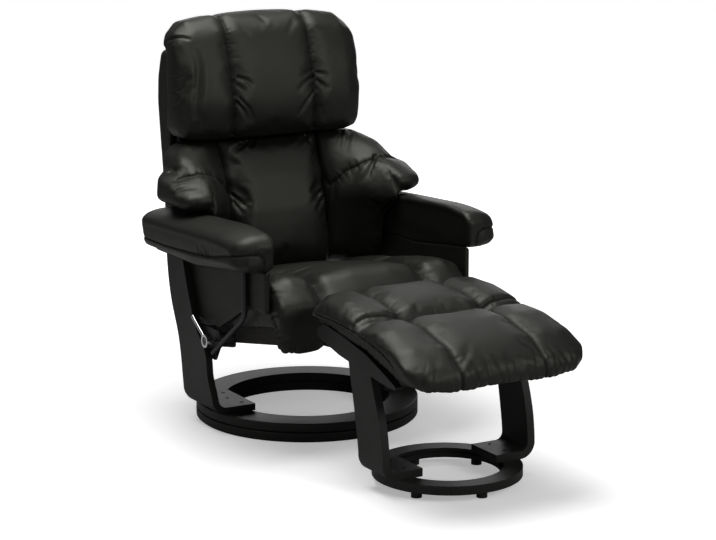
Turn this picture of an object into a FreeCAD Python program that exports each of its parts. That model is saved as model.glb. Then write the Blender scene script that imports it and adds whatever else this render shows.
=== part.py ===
import FreeCAD, Part
import math
import os

# Swivel recliner with a matching footstool. The origin is on the floor at the swivel axis,
# the sitter faces -Y, and +Z is up. Lengths are in millimetres, angles in degrees.

# Swivel base
RING_OUTER_R = 290.0
RING_W = 75.0
FELT_T = 3.0
FELT_INSET = 6.0
BASE_RING_T = 22.0
RING_GAP = 2.0
TURN_RING_T = 23.0
RING_EDGE_R = 3.0
RACE_INSET = 22.0
RACE_W = 32.0
RACE_T = 3.0
BALL_D = 6.0
BALL_COUNT = 24
CAGE_T = 2.5
CAGE_W = 14.0
RUN_GAP = 0.4

# Bent legs of the chair
LEG_OUTER_X = 312.0
LEG_T = 18.0
LEG_WIDTH = 160.0
LEG_MID_Y = 5.0
FOOT_REACH = 98.0
BEND_R = 20.0
ARM_UNDER_Z = 440.0

# Screws in both pairs of feet
SCREW_HEAD_D = 11.0
SCREW_HEAD_H = 4.0
SCREW_SHANK_D = 5.5
SCREW_LEN = 32.0
SCREW_SINK = 1.5
HOLE_SPREAD_Y = 104.0
HOLE_INSET = 73.0
HOLE_STEP_X = 14.0

# Arms
ARM_INNER_X = 279.0
ARM_OUTER_X = 373.0
ARM_FRONT_Y = -346.0
ARM_REAR_Y = 234.0
ARM_PAD_H = 98.0
ARM_RISE = 32.0
ARM_BOARD_T = 12.0
ARM_BOARD_INSET = 7.0
PANEL_T = 14.0
PANEL_FRONT_Y = -326.0
PANEL_REAR_Y = 150.0
PANEL_LOW_Z = 280.0
PANEL_FRONT_LOW_Z = 362.0

# Struts and pivot brackets
STRUT_D = 14.0
STRUT_Y = -232.0
STRUT_BEND_Z = 338.0
STRUT_BEND_R = 40.0
STRUT_END_Y = -56.0
STRUT_END_Z = 210.0
STRUT_BITE = 0.5
BRACKET_T = 4.0
BRACKET_FRONT_Y = -80.0
BRACKET_REAR_Y = 62.0
BRACKET_DROP = 54.0
BRACKET_RISE = 26.0
BOLT_D = 8.0
BOLT_HEAD_D = 15.0
BOLT_HEAD_H = 3.0

# Seat pivot and recline lock
PIVOT_Y = -57.0
PIVOT_Z = 244.0
STUD_D = 12.0
STUD_COLLAR_D = 30.0
STUD_END_X = 302.0
STUD_LEVER_END_X = 322.0
PIVOT_FIT = 0.05
HUB_D = 34.0
HUB_INNER_X = 309.5
HUB_OUTER_X = 326.0
HUB_CAP_D = 22.0
HUB_CAP_T = 2.5
LEVER_LEN = 88.0
LEVER_ROOT_D = 9.0
LEVER_TIP_D = 11.0
LEVER_X = 319.5
LEVER_ANGLE = 33.0

# Seat, in its own frame: the origin is the pivot and the seat slopes down to the rear
SEAT_SLOPE = 10.5
SEAT_HALF_W = 274.0
SEAT_FRONT = -345.0
SEAT_REAR = 196.0
SEAT_TOP = 156.0
SEAT_BASE = 32.0
NOSE_LOW = -36.0
NOSE_T = 53.0
RAIL_OUTER_X = 262.0
RAIL_W = 22.0
RAIL_H = 40.0
RAIL_GAP = 12.0
RAIL_REAR = 252.0
CROSS_RAIL_W = 24.0
SPRING_D = 4.0
SPRING_COUNT = 4
SPRING_WAVE = 26.0
SPRING_PITCH = 34.0
DUST_T = 2.0
PLATE_T = 4.0
PLATE_LEN = 100.0
PLATE_DROP = 22.0

# Back
HINGE_Y = 190.0
HINGE_Z = 288.0
HINGE_PIN_D = 10.0
HINGE_HEAD_D = 16.0
HINGE_PLATE_T = 5.0
HINGE_PLATE_W = 34.0
BACK_FRAME_D = 22.0
BACK_FRAME_HALF_W = 222.0
BACK_FRAME_Y = 284.0
BACK_FRAME_DROP = 24.0
BACK_FRAME_LOW_Z = 330.0
BACK_FRAME_BEND_R = 70.0
WEB_COUNT = 4
WEB_W = 50.0
WEB_T = 3.0
CENTRE_HALF_W = 150.0
CENTRE_FRONT_Y = 100.0
CENTRE_LOW_Z = 386.0
CUSHION_TOP_Z = 706.0
SEAM_GAP = 1.0
WING_OUTER_X = 344.0
WING_FRONT_Y = -24.0
WING_LOW_Z = 566.0
HEAD_HALF_W = 266.0
HEAD_LOW_Z = 708.0
HEAD_TOP_Z = 1030.0
HEAD_CAP_H = 84.0
HEAD_FRONT_Y = 150.0
HEAD_REAR_Y = 366.0
SHELL_HALF_W = 250.0
SHELL_GAP = 3.0
SHELL_REAR_Y = 388.0
SHELL_LOW_Z = 306.0

# Footstool
STOOL_Y = -691.0
STOOL_RING_R = 180.0
STOOL_RING_W = 53.0
STOOL_RING_LOW_Z = 18.0
STOOL_RING_T = 22.0
STOOL_RIM_STEP = 7.0
GLIDE_D = 26.0
GLIDE_COUNT = 6
GLIDE_INSET = 28.0
STOOL_LEG_X = 212.0
STOOL_LEG_T = 20.0
STOOL_LEG_WIDTH = 112.0
STOOL_FOOT_REACH = 77.0
STOOL_HOLE_INSET = 39.0
STOOL_HOLE_SPREAD = 63.0
STOOL_PLATE_T = 18.0
STOOL_PLATE_FRONT = -140.0
STOOL_PLATE_REAR = 258.0
STOOL_PLATE_LOW_Z = 272.0
STOOL_PLATE_H = 92.0
STOOL_BOARD_T = 10.0
STOOL_CROSS_D = 20.0
STOOL_PAD_HALF_W = 242.0
STOOL_PAD_FRONT = -248.0
STOOL_PAD_REAR = 274.0
STOOL_PAD_LOW_Z = 278.0
STOOL_PAD_TOP_Z = 440.0
STOOL_SEAM_X = 113.0

# How far a cutting tool runs past the face it cuts
OVERRUN = 5.0

# How much of a side one rounded corner may take
CORNER_SHARE = 0.45

# Side outline of a leg: share of its height, then of its width behind the middle
LEG_FRONT_SHARES = ((0.0, -0.5), (0.1, -0.47), (0.26, -0.3), (0.4, -0.24), (0.52, 0.04), (0.66, 0.24),
                    (0.86, 0.44), (1.0, 0.55))
LEG_REAR_SHARES = ((1.0, 1.12), (0.84, 1.08), (0.64, 0.95), (0.46, 0.75), (0.27, 0.63), (0.12, 0.57),
                   (0.0, 0.5))
STOOL_LEG_FRONT_SHARES = ((0.0, -0.5), (0.26, -0.48), (0.46, -0.4), (0.66, -0.25), (0.85, -0.07),
                          (1.0, 0.06))
STOOL_LEG_REAR_SHARES = ((1.0, 0.92), (0.82, 0.82), (0.6, 0.69), (0.38, 0.58), (0.16, 0.5), (0.0, 0.5))

# Side outlines of soft pieces: share of length from the front, then of height from the bottom, then
# corner radius as a share of the height
ARM_SHARES = ((0.0, 0.0, 0.22), (0.45, -0.33, 0.5), (1.0, -0.33, 0.22), (1.0, 0.62, 0.3), (0.6, 0.78, 0.5),
              (0.0, 0.98, 0.3))
SEAT_SHARES = ((0.0, 0.4, 0.3), (0.1, 0.98, 0.42), (0.3, 1.03, 0.3), (1.0, 0.98, 0.2), (1.0, 0.0, 0.06))
HEAD_SHARES = ((0.05, 0.07, 0.07), (0.0, 0.3, 0.2), (0.1, 0.62, 0.2), (0.24, 0.88, 0.16), (0.44, 1.0, 0.12),
               (0.86, 0.96, 0.1), (0.99, 0.74, 0.02))
PAD_SHARES = ((0.0, 0.06, 0.1), (0.01, 0.34, 0.14), (0.14, 0.64, 0.2), (0.33, 0.82, 0.3), (0.46, 0.84, 0.1),
              (0.515, 0.76, 0.03), (0.57, 0.91, 0.1), (0.72, 1.0, 0.3), (0.9, 1.0, 0.16), (1.0, 0.78, 0.1),
              (0.98, 0.5, 0.06), (0.55, 0.36, 0.3), (0.22, 0.06, 0.2))

# Places that follow from the sizes above
BRACKET_LOW_Z = PIVOT_Z - BRACKET_DROP
BRACKET_HIGH_Z = PIVOT_Z + BRACKET_RISE
NOSE_BACK = SEAT_FRONT + NOSE_T
RAIL_FRONT = NOSE_BACK + RAIL_GAP
RING_INNER_R = RING_OUTER_R - RING_W
RACE_OUTER_R = RING_OUTER_R - RACE_INSET
RACE_INNER_R = RACE_OUTER_R - RACE_W
FOOT_END_X = RING_OUTER_R - FOOT_REACH
HOLE_X = RING_OUTER_R - HOLE_INSET
HOLE_MID_X = HOLE_X + HOLE_STEP_X
STOOL_RING_INNER_R = STOOL_RING_R - STOOL_RING_W
GLIDE_CIRCLE_R = STOOL_RING_R - GLIDE_INSET
STOOL_FOOT_END_X = STOOL_RING_R - STOOL_FOOT_REACH
STOOL_HOLE_X = STOOL_RING_R - STOOL_HOLE_INSET
SHELL_TOP_Z = HEAD_TOP_Z - HEAD_CAP_H
BACK_FRAME_TOP_Z = SHELL_TOP_Z - BACK_FRAME_DROP
TURN_LOW_Z = FELT_T + BASE_RING_T + RING_GAP
RING_TOP_Z = TURN_LOW_Z + TURN_RING_T
STOOL_RING_TOP_Z = STOOL_RING_LOW_Z + STOOL_RING_T
CUSHION_REAR_Y = BACK_FRAME_Y - BACK_FRAME_D / 2 - WEB_T
SHELL_FRONT_Y = BACK_FRAME_Y + BACK_FRAME_D / 2 + SHELL_GAP
UP = FreeCAD.Vector(0, 0, 1)
ACROSS = FreeCAD.Vector(1, 0, 0)
ORIGIN = FreeCAD.Vector(0, 0, 0)
nodes = {}


def vec(x, y, z):
    return FreeCAD.Vector(x, y, z)


def mirrored(shape):
    return shape.mirror(ORIGIN, ACROSS)


def rod(start, end, diameter):
    return Part.makeCylinder(diameter / 2, (end - start).Length, start, end - start)


def annulus(outer_r, inner_r, low_z, thick, middle=ORIGIN):
    at = middle + UP * low_z
    ring = Part.makeCylinder(outer_r, thick, at)
    return ring.cut(Part.makeCylinder(inner_r, thick + 2 * OVERRUN, at - UP * OVERRUN))


def box(x0, x1, y0, y1, z0, z1):
    return Part.makeBox(x1 - x0, y1 - y0, z1 - z0, vec(x0, y0, z0))


def rounded_wire(points, radii):
    """A closed outline whose corners are arcs tangent to both sides."""
    spans = []
    count = len(points)
    for i in range(count):
        corner = points[i]
        back = points[i - 1] - corner
        ahead = points[(i + 1) % count] - corner
        reach = CORNER_SHARE * min(back.Length, ahead.Length)
        back.normalize()
        ahead.normalize()
        half = math.acos(max(-1.0, min(1.0, back.dot(ahead)))) / 2
        tangent = min(reach, radii[i] / math.tan(half))
        toward = (back + ahead).normalize()
        inset = tangent / math.cos(half)
        middle = corner + toward * (inset - tangent * math.tan(half))
        spans.append((corner + back * tangent, middle, corner + ahead * tangent))
    edges = []
    for i in range(count):
        start, middle, end = spans[i]
        edges.append(Part.Arc(start, middle, end).toShape())
        edges.append(Part.LineSegment(end, spans[(i + 1) % count][0]).toShape())
    return Part.Wire(edges)


def side_outline(shares, front_y, rear_y, low_z, high_z):
    """Side outline points and corner radii from a table of shares."""
    points = []
    for along, up, bend in shares:
        points.append((front_y + along * (rear_y - front_y), low_z + up * (high_z - low_z)))
    return points, [bend * (high_z - low_z) for along, up, bend in shares]


def drawn_in(points, anchor, share_y, share_z):
    mid_y, mid_z = anchor
    return [(mid_y + (y - mid_y) * share_y, mid_z + (z - mid_z) * share_z) for y, z in points]


def cushion(stations):
    """A cushion lofted through side outlines, each a place across the cushion with its points and radii."""
    wires = []
    for x, points, radii in stations:
        wires.append(rounded_wire([vec(x, y, z) for y, z in points], radii))
    return Part.makeLoft(wires, True, True)


def side_prism(points, x0, x1):
    """A plate cut to a side outline, from x0 to x1."""
    outline = Part.makePolygon([vec(x0, y, z) for y, z in points] + [vec(x0, *points[0])])
    return Part.Face(outline).extrude(vec(x1 - x0, 0, 0))


def curved_prism(front, rear, x0, x1):
    """A plate between two smooth edges, given bottom to top and then top to bottom."""
    up_edge = Part.BSplineCurve()
    up_edge.interpolate([vec(x0, y, z) for y, z in front])
    down_edge = Part.BSplineCurve()
    down_edge.interpolate([vec(x0, y, z) for y, z in rear])
    top = Part.LineSegment(vec(x0, *front[-1]), vec(x0, *rear[0])).toShape()
    low = Part.LineSegment(vec(x0, *rear[-1]), vec(x0, *front[0])).toShape()
    wire = Part.Wire([up_edge.toShape(), top, down_edge.toShape(), low])
    return Part.Face(wire).extrude(vec(x1 - x0, 0, 0))


def bent_tube(points, bend_r, diameter):
    """A round bar along straight runs joined by arcs."""
    edges = []
    last = points[0]
    for i in range(1, len(points) - 1):
        back = (points[i - 1] - points[i]).normalize()
        ahead = (points[i + 1] - points[i]).normalize()
        half = math.acos(back.dot(ahead)) / 2
        tangent = bend_r / math.tan(half)
        toward = (back + ahead).normalize()
        middle = points[i] + toward * (bend_r / math.sin(half) - bend_r)
        edges.append(Part.LineSegment(last, points[i] + back * tangent).toShape())
        edges.append(Part.Arc(points[i] + back * tangent, middle, points[i] + ahead * tangent).toShape())
        last = points[i] + ahead * tangent
    edges.append(Part.LineSegment(last, points[-1]).toShape())
    path = Part.Wire(edges)
    section = Part.Wire(Part.makeCircle(diameter / 2, points[0], points[1] - points[0]))
    return path.makePipeShell([section], True, False)


def screw(at, tip):
    """A countersunk screw whose head is at one point and whose tip points at another."""
    along = (tip - at).normalize()
    head = Part.makeCone(SCREW_HEAD_D / 2, SCREW_SHANK_D / 2, SCREW_HEAD_H, at, along)
    return head.fuse(Part.makeCylinder(SCREW_SHANK_D / 2, SCREW_LEN, at, along))


def screw_well(at, tip):
    """The hole that a sunk screw leaves in the wood above its head."""
    along = (tip - at).normalize()
    deep = SCREW_SINK + OVERRUN
    return Part.makeCylinder(SCREW_HEAD_D / 2, deep, at - along * deep, along)


def rim_softened(ring):
    rims = [e for e in ring.Edges if abs(e.BoundBox.XMax - RING_OUTER_R) < RUN_GAP
            and e.BoundBox.ZLength < RUN_GAP]
    return ring.makeFillet(RING_EDGE_R, rims)


def swivel_base():
    base_low = FELT_T
    base_top = base_low + BASE_RING_T
    nodes["floor_felt"] = annulus(RING_OUTER_R - FELT_INSET, RING_INNER_R + FELT_INSET, 0, FELT_T)
    race_gap = BALL_D - RING_GAP
    race_low = base_top - race_gap / 2 - RACE_T
    upper_race_low = TURN_LOW_Z + race_gap / 2
    ring = annulus(RING_OUTER_R, RING_INNER_R, base_low, BASE_RING_T)
    ring = rim_softened(ring)
    seat_depth = base_top - race_low
    nodes["base_ring"] = ring.cut(annulus(RACE_OUTER_R, RACE_INNER_R, race_low, seat_depth + OVERRUN))
    nodes["lower_race"] = annulus(RACE_OUTER_R, RACE_INNER_R, race_low, RACE_T)
    ring = annulus(RING_OUTER_R, RING_INNER_R, TURN_LOW_Z, TURN_RING_T)
    ring = rim_softened(ring)
    recess_low = TURN_LOW_Z - OVERRUN
    ring = ring.cut(annulus(RACE_OUTER_R, RACE_INNER_R, recess_low, upper_race_low + RACE_T - recess_low))
    nodes["upper_race"] = annulus(RACE_OUTER_R, RACE_INNER_R, upper_race_low, RACE_T)
    ball_z = race_low + RACE_T + (BALL_D - RUN_GAP) / 2
    circle_r = (RACE_OUTER_R + RACE_INNER_R) / 2
    cage = annulus(circle_r + CAGE_W / 2, circle_r - CAGE_W / 2, ball_z - CAGE_T / 2, CAGE_T)
    for i in range(BALL_COUNT):
        turn = 2 * math.pi * i / BALL_COUNT
        at = vec(circle_r * math.cos(turn), circle_r * math.sin(turn), ball_z)
        cage = cage.fuse(Part.makeSphere((BALL_D - RUN_GAP) / 2, at))
    nodes["ball_cage"] = cage
    return ring


def bent_leg(outer_x, thick, low_z, high_z, foot_end_x, front, rear):
    """A laminated strip: a foot along the floor ring, a bend, and an upright cut to its side outline."""
    inner_x = outer_x - thick
    outer_r = BEND_R + thick
    points = [vec(-foot_end_x, 0, low_z), vec(-outer_x, 0, low_z), vec(-outer_x, 0, high_z),
              vec(-inner_x, 0, high_z), vec(-inner_x, 0, low_z + thick), vec(-foot_end_x, 0, low_z + thick)]
    reach = [y for y, z in front + rear]
    for p in points:
        p.y = min(reach) - OVERRUN
    span = max(reach) - min(reach) + 2 * OVERRUN
    strip = Part.Face(Part.makePolygon(points + [points[0]])).extrude(vec(0, span, 0))
    bends = []
    for edge in [e for e in strip.Edges if e.BoundBox.YLength > thick]:
        middle = edge.CenterOfMass
        if abs(middle.z - low_z) < RUN_GAP and abs(middle.x + outer_x) < RUN_GAP:
            bends.append((outer_r, edge))
        if abs(middle.z - low_z - thick) < RUN_GAP and abs(middle.x + inner_x) < RUN_GAP:
            bends.append((BEND_R, edge))
    for radius, edge in bends:
        match = [e for e in strip.Edges if e.CenterOfMass.isEqual(edge.CenterOfMass, RUN_GAP)]
        strip = strip.makeFillet(radius, match)
    return strip.common(curved_prism(front, rear, -outer_x - OVERRUN, -foot_end_x + OVERRUN))


def edge_points(shares, mid_y, width, low_z, high_z):
    return [(mid_y + across * width, low_z + up * (high_z - low_z)) for up, across in shares]


def arm_station(inset, shrink):
    low_z = ARM_UNDER_Z + ARM_RISE
    return side_outline(ARM_SHARES, ARM_FRONT_Y + inset, ARM_REAR_Y - inset, low_z + shrink,
                        low_z + ARM_PAD_H - shrink)


def arm_underside():
    """The arm's bottom line, rear to front, as far as its board reaches."""
    points, radii = arm_station((ARM_OUTER_X - ARM_INNER_X) / 2 + ARM_BOARD_INSET, 0)
    return [points[2], points[1], points[0]]


def arms():
    """Arm pads on their boards, with the panels that hang beside the seat."""
    width = ARM_OUTER_X - ARM_INNER_X
    plan_shares = ((0.0, 0.02, 0.03), (0.08, 0.0, 0.0), (0.45, 0.0, 0.0), (0.72, 0.06, 0.03),
                   (0.9, 0.22, 0.08), (1.0, 0.46, 0.2))
    stations = []
    for across_share, inset_share, shrink_share in plan_shares:
        points, radii = arm_station(inset_share * width, shrink_share * ARM_PAD_H)
        stations.append((-ARM_INNER_X - across_share * width, points, radii))
    pad = cushion(stations)
    under = arm_underside()
    over = [(y, z + ARM_BOARD_T) for y, z in reversed(under)]
    board_x = -ARM_INNER_X - ARM_BOARD_INSET
    board_end_x = -ARM_OUTER_X + width / 3
    board = side_prism(under + over, board_x, board_end_x)
    pad = pad.cut(board)
    low = [(y, z - ARM_PAD_H) for y, z in reversed(under)]
    nodes["arm_board_left"] = board
    nodes["arm_pad_left"] = pad.cut(side_prism(under + low, board_x, board_end_x))
    panel_x = -ARM_INNER_X - PANEL_T
    outline = [(PANEL_FRONT_Y, ARM_UNDER_Z + ARM_PAD_H / 2), (PANEL_FRONT_Y, PANEL_FRONT_LOW_Z),
               (STRUT_Y, PANEL_FRONT_LOW_Z), (BRACKET_FRONT_Y, PANEL_LOW_Z), (PANEL_REAR_Y, PANEL_LOW_Z),
               (PANEL_REAR_Y, ARM_UNDER_Z + ARM_PAD_H / 2)]
    panel = side_prism(outline, panel_x, -ARM_INNER_X)
    nodes["arm_panel_left"] = panel.cut(nodes["arm_pad_left"]).cut(board)


def legs(turn_ring):
    front = edge_points(LEG_FRONT_SHARES, LEG_MID_Y, LEG_WIDTH, RING_TOP_Z, ARM_UNDER_Z)
    rear = edge_points(LEG_REAR_SHARES, LEG_MID_Y, LEG_WIDTH, RING_TOP_Z, ARM_UNDER_Z)
    top_z = ARM_UNDER_Z + ARM_BOARD_T
    leg = bent_leg(LEG_OUTER_X, LEG_T, RING_TOP_Z, top_z, FOOT_END_X, front, rear)
    leg = leg.cut(nodes["arm_board_left"]).cut(nodes["arm_pad_left"])
    leg = max(leg.Solids, key=lambda s: s.Volume)
    head_z = RING_TOP_Z + LEG_T - SCREW_SINK
    places = [(-HOLE_X, LEG_MID_Y - HOLE_SPREAD_Y / 2), (-HOLE_X, LEG_MID_Y + HOLE_SPREAD_Y / 2),
              (-HOLE_MID_X, LEG_MID_Y)]
    screws = []
    for x, y in places:
        leg = leg.cut(screw_well(vec(x, y, head_z), vec(x, y, 0)))
        screws.append(screw(vec(x, y, head_z), vec(x, y, 0)))
    leg = leg.cut(Part.makeCompound(screws))
    screws += [mirrored(s) for s in screws]
    nodes["leg_left"] = leg
    nodes["leg_screws"] = Part.makeCompound(screws)
    nodes["turn_ring"] = turn_ring.cut(nodes["leg_screws"])


def struts_and_brackets():
    outline = [vec(-LEG_OUTER_X + LEG_T, BRACKET_FRONT_Y, PIVOT_Z - HUB_D / 2),
               vec(-LEG_OUTER_X + LEG_T, STRUT_END_Y, BRACKET_LOW_Z),
               vec(-LEG_OUTER_X + LEG_T, BRACKET_REAR_Y, BRACKET_LOW_Z),
               vec(-LEG_OUTER_X + LEG_T, BRACKET_REAR_Y, BRACKET_HIGH_Z),
               vec(-LEG_OUTER_X + LEG_T, BRACKET_FRONT_Y, BRACKET_HIGH_Z)]
    plate = Part.Face(rounded_wire(outline, [BOLT_D] * len(outline))).extrude(vec(BRACKET_T, 0, 0))
    inner = vec(-LEG_OUTER_X, PIVOT_Y, PIVOT_Z)
    plate = plate.cut(rod(inner, inner + ACROSS * (LEG_T + BRACKET_T + OVERRUN), STUD_D + 2 * PIVOT_FIT))
    bolts = []
    head_x = -LEG_OUTER_X + LEG_T + BRACKET_T
    bolt_y = BRACKET_REAR_Y - BOLT_HEAD_D
    for z in (BRACKET_LOW_Z + BOLT_HEAD_D, BRACKET_HIGH_Z - BOLT_HEAD_D):
        at = vec(head_x, bolt_y, z)
        head = rod(at, at + ACROSS * BOLT_HEAD_H, BOLT_HEAD_D)
        bolts.append(head.fuse(rod(at, at - ACROSS * LEG_T, BOLT_D)))
    holes = Part.makeCompound(bolts)
    nodes["pivot_bracket_left"] = plate.cut(holes)
    nodes["leg_left"] = nodes["leg_left"].cut(holes)
    nodes["bracket_bolts"] = Part.makeCompound(bolts + [mirrored(b) for b in bolts])
    tube_x = -LEG_OUTER_X + LEG_T - STRUT_D / 2 + STRUT_BITE
    path = [vec(tube_x, STRUT_Y, ARM_UNDER_Z + ARM_PAD_H / 2), vec(tube_x, STRUT_Y, STRUT_BEND_Z),
            vec(tube_x, STRUT_END_Y, STRUT_END_Z)]
    tube = bent_tube(path, STRUT_BEND_R, STRUT_D)
    under = arm_underside()
    inside_arm = under + [(y, z + ARM_PAD_H) for y, z in reversed(under)]
    tube = tube.cut(side_prism(inside_arm, tube_x - STRUT_D, tube_x + STRUT_D))
    nodes["strut_left"] = tube.cut(nodes["pivot_bracket_left"])


def placed(shape):
    """Sets a piece built in the seat's own frame on the pivot, at the seat's slope."""
    moved = shape.copy()
    moved.rotate(ORIGIN, ACROSS, -SEAT_SLOPE)
    moved.translate(vec(0, PIVOT_Y, PIVOT_Z))
    return moved


def pivots_and_lock():
    """The seat's pivot studs, and the lever that clamps the one on the left."""
    wall_x = RAIL_OUTER_X + PLATE_T
    bracket_x = LEG_OUTER_X - LEG_T - BRACKET_T
    for side, sign, end_x in (("left", -1, STUD_LEVER_END_X), ("right", 1, STUD_END_X)):
        start = vec(sign * RAIL_OUTER_X, PIVOT_Y, PIVOT_Z)
        collar = rod(vec(sign * wall_x, PIVOT_Y, PIVOT_Z),
                     vec(sign * (bracket_x - RUN_GAP), PIVOT_Y, PIVOT_Z), STUD_COLLAR_D)
        nodes["pivot_stud_" + side] = collar.fuse(rod(start, vec(sign * end_x, PIVOT_Y, PIVOT_Z), STUD_D))
    plate = box(-wall_x, -RAIL_OUTER_X, -PLATE_LEN / 2, PLATE_LEN / 2, -PLATE_DROP, SEAT_BASE - RUN_GAP)
    corners = [e for e in plate.Edges if e.BoundBox.XLength > PLATE_T / 2]
    plate = placed(plate.makeFillet(PLATE_DROP / 2, corners))
    nodes["pivot_plate_left"] = plate.cut(nodes["pivot_stud_left"])
    nodes["pivot_plate_right"] = mirrored(plate).cut(nodes["pivot_stud_right"])
    axis_in = vec(-HUB_INNER_X, PIVOT_Y, PIVOT_Z)
    axis_out = vec(-HUB_OUTER_X, PIVOT_Y, PIVOT_Z)
    hub = rod(axis_in, axis_out, HUB_D)
    rise = math.radians(LEVER_ANGLE)
    root = vec(-LEVER_X, PIVOT_Y, PIVOT_Z)
    along = vec(0, math.cos(rise), math.sin(rise))
    arm = Part.makeCone(LEVER_ROOT_D / 2, LEVER_TIP_D / 2, LEVER_LEN, root, along)
    lever = hub.fuse(arm).fuse(Part.makeSphere(LEVER_TIP_D / 2, root + along * LEVER_LEN))
    cap_in = axis_out + ACROSS * HUB_CAP_T
    nodes["hub_cap"] = rod(cap_in, axis_out, HUB_CAP_D)
    bore_end = vec(-STUD_LEVER_END_X - RUN_GAP, PIVOT_Y, PIVOT_Z)
    bore = rod(axis_in + ACROSS * OVERRUN, bore_end, STUD_D + 2 * PIVOT_FIT)
    nodes["recline_lever"] = lever.cut(nodes["hub_cap"]).cut(bore)


def seat():
    points, radii = side_outline(SEAT_SHARES, SEAT_FRONT, SEAT_REAR, SEAT_BASE, SEAT_TOP)
    nose_r = (NOSE_BACK - SEAT_FRONT) / 3
    points += [(NOSE_BACK, SEAT_BASE), (NOSE_BACK, NOSE_LOW), (SEAT_FRONT + nose_r, NOSE_LOW)]
    radii += [nose_r / 2, nose_r / 2, nose_r]
    anchor = (SEAT_REAR, SEAT_BASE)
    crown_shares = ((1.0, 0.962, 0.7), (0.965, 0.972, 0.9), (0.8, 0.985, 1.0), (0.64, 0.985, 0.96),
                    (0.545, 0.972, 0.85), (0.45, 0.99, 0.95), (0.2, 1.0, 1.0))
    both = [(-x, y, z) for x, y, z in crown_shares] + list(reversed(crown_shares))
    stations = []
    for across, length, height in both:
        outline = []
        for y, z in points:
            drawn = 1.0 if y == NOSE_BACK else length
            outline.append((anchor[0] + (y - anchor[0]) * drawn, anchor[1] + (z - anchor[1]) * height))
        stations.append((across * SEAT_HALF_W, outline, radii))
    nodes["seat_cushion"] = placed(cushion(stations))
    low = SEAT_BASE - RAIL_H
    top = SEAT_BASE - RUN_GAP
    inner_x = RAIL_OUTER_X - RAIL_W
    rear = SEAT_REAR - CROSS_RAIL_W
    rail = placed(box(-RAIL_OUTER_X, -inner_x, RAIL_FRONT, RAIL_REAR, low, top))
    cross_rear = RAIL_FRONT + CROSS_RAIL_W
    nodes["seat_rail_left"] = rail.cut(nodes["pivot_stud_left"])
    nodes["seat_rail_front"] = placed(box(-inner_x, inner_x, RAIL_FRONT, cross_rear, low, top))
    nodes["seat_rail_rear"] = placed(box(-inner_x, inner_x, rear, SEAT_REAR, low, top))
    cover = box(-RAIL_OUTER_X, RAIL_OUTER_X, RAIL_FRONT, SEAT_REAR, low - DUST_T, low)
    nodes["dust_cover"] = placed(cover)
    springs = placed(Part.makeCompound([spring(i, rear, top) for i in range(SPRING_COUNT)]))
    nodes["seat_springs"] = springs.cut(nodes["seat_rail_front"]).cut(nodes["seat_rail_rear"])


def spring(index, rear, top):
    """One sinuous seat spring, bent flat from side to side between the cross rails."""
    x = (2 * RAIL_OUTER_X - 2 * RAIL_W) * ((index + 0.5) / SPRING_COUNT - 0.5)
    z = top - RAIL_H / 3
    front = RAIL_FRONT + CROSS_RAIL_W
    turns = int((rear - front) / SPRING_PITCH)
    points = [vec(x, front, z)]
    for i in range(turns):
        y = front + (i + 0.5) * (rear - front) / turns
        points.append(vec(x + (SPRING_WAVE if i % 2 else -SPRING_WAVE), y, z))
    points.append(vec(x, rear, z))
    return bent_tube(points, SPRING_D * 2, SPRING_D)


def hinges():
    """Hinge plates on the seat rails, arms on the back frame, and the pins that join them."""
    inner_x = RAIL_OUTER_X - RAIL_W
    width = HINGE_PLATE_W / 2
    slope = math.radians(SEAT_SLOPE)
    rail_z = PIVOT_Z - (HINGE_Y - PIVOT_Y) * math.tan(slope)
    plate = box(-inner_x, -inner_x + HINGE_PLATE_T, HINGE_Y - width, HINGE_Y + width, rail_z, HINGE_Z)
    middle = vec(-inner_x, HINGE_Y, HINGE_Z)
    plate = plate.fuse(rod(middle, middle + ACROSS * HINGE_PLATE_T, HINGE_PLATE_W)).removeSplitter()
    head = middle - ACROSS * HINGE_PLATE_T
    arm_x = -inner_x + HINGE_PLATE_T + RUN_GAP
    pin_end = vec(arm_x + HINGE_PLATE_T + RUN_GAP, HINGE_Y, HINGE_Z)
    pin = rod(head, middle, HINGE_HEAD_D).fuse(rod(middle, pin_end, HINGE_PIN_D))
    nodes["hinge_plate_left"] = plate.cut(pin)
    nodes["hinge_pin_left"] = pin
    foot = vec(arm_x, HINGE_Y, HINGE_Z)
    knee = vec(arm_x, BACK_FRAME_Y, BACK_FRAME_LOW_Z + HINGE_PLATE_W)
    lean = knee - foot
    side = vec(0, -lean.z, lean.y).normalize() * width
    outline = [foot + side, foot - side, knee - side, knee + side]
    arm = Part.Face(Part.makePolygon(outline + [outline[0]])).extrude(ACROSS * HINGE_PLATE_T)
    arm = arm.fuse(rod(foot, foot + ACROSS * HINGE_PLATE_T, HINGE_PLATE_W))
    arm = arm.fuse(rod(knee, knee + ACROSS * HINGE_PLATE_T, HINGE_PLATE_W)).removeSplitter()
    arm = arm.cut(rod(head, pin_end + ACROSS * OVERRUN, HINGE_PIN_D + 2 * PIVOT_FIT))
    nodes["hinge_arm_left"] = arm.cut(nodes["back_frame"]).cut(nodes["back_shell"])


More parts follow.
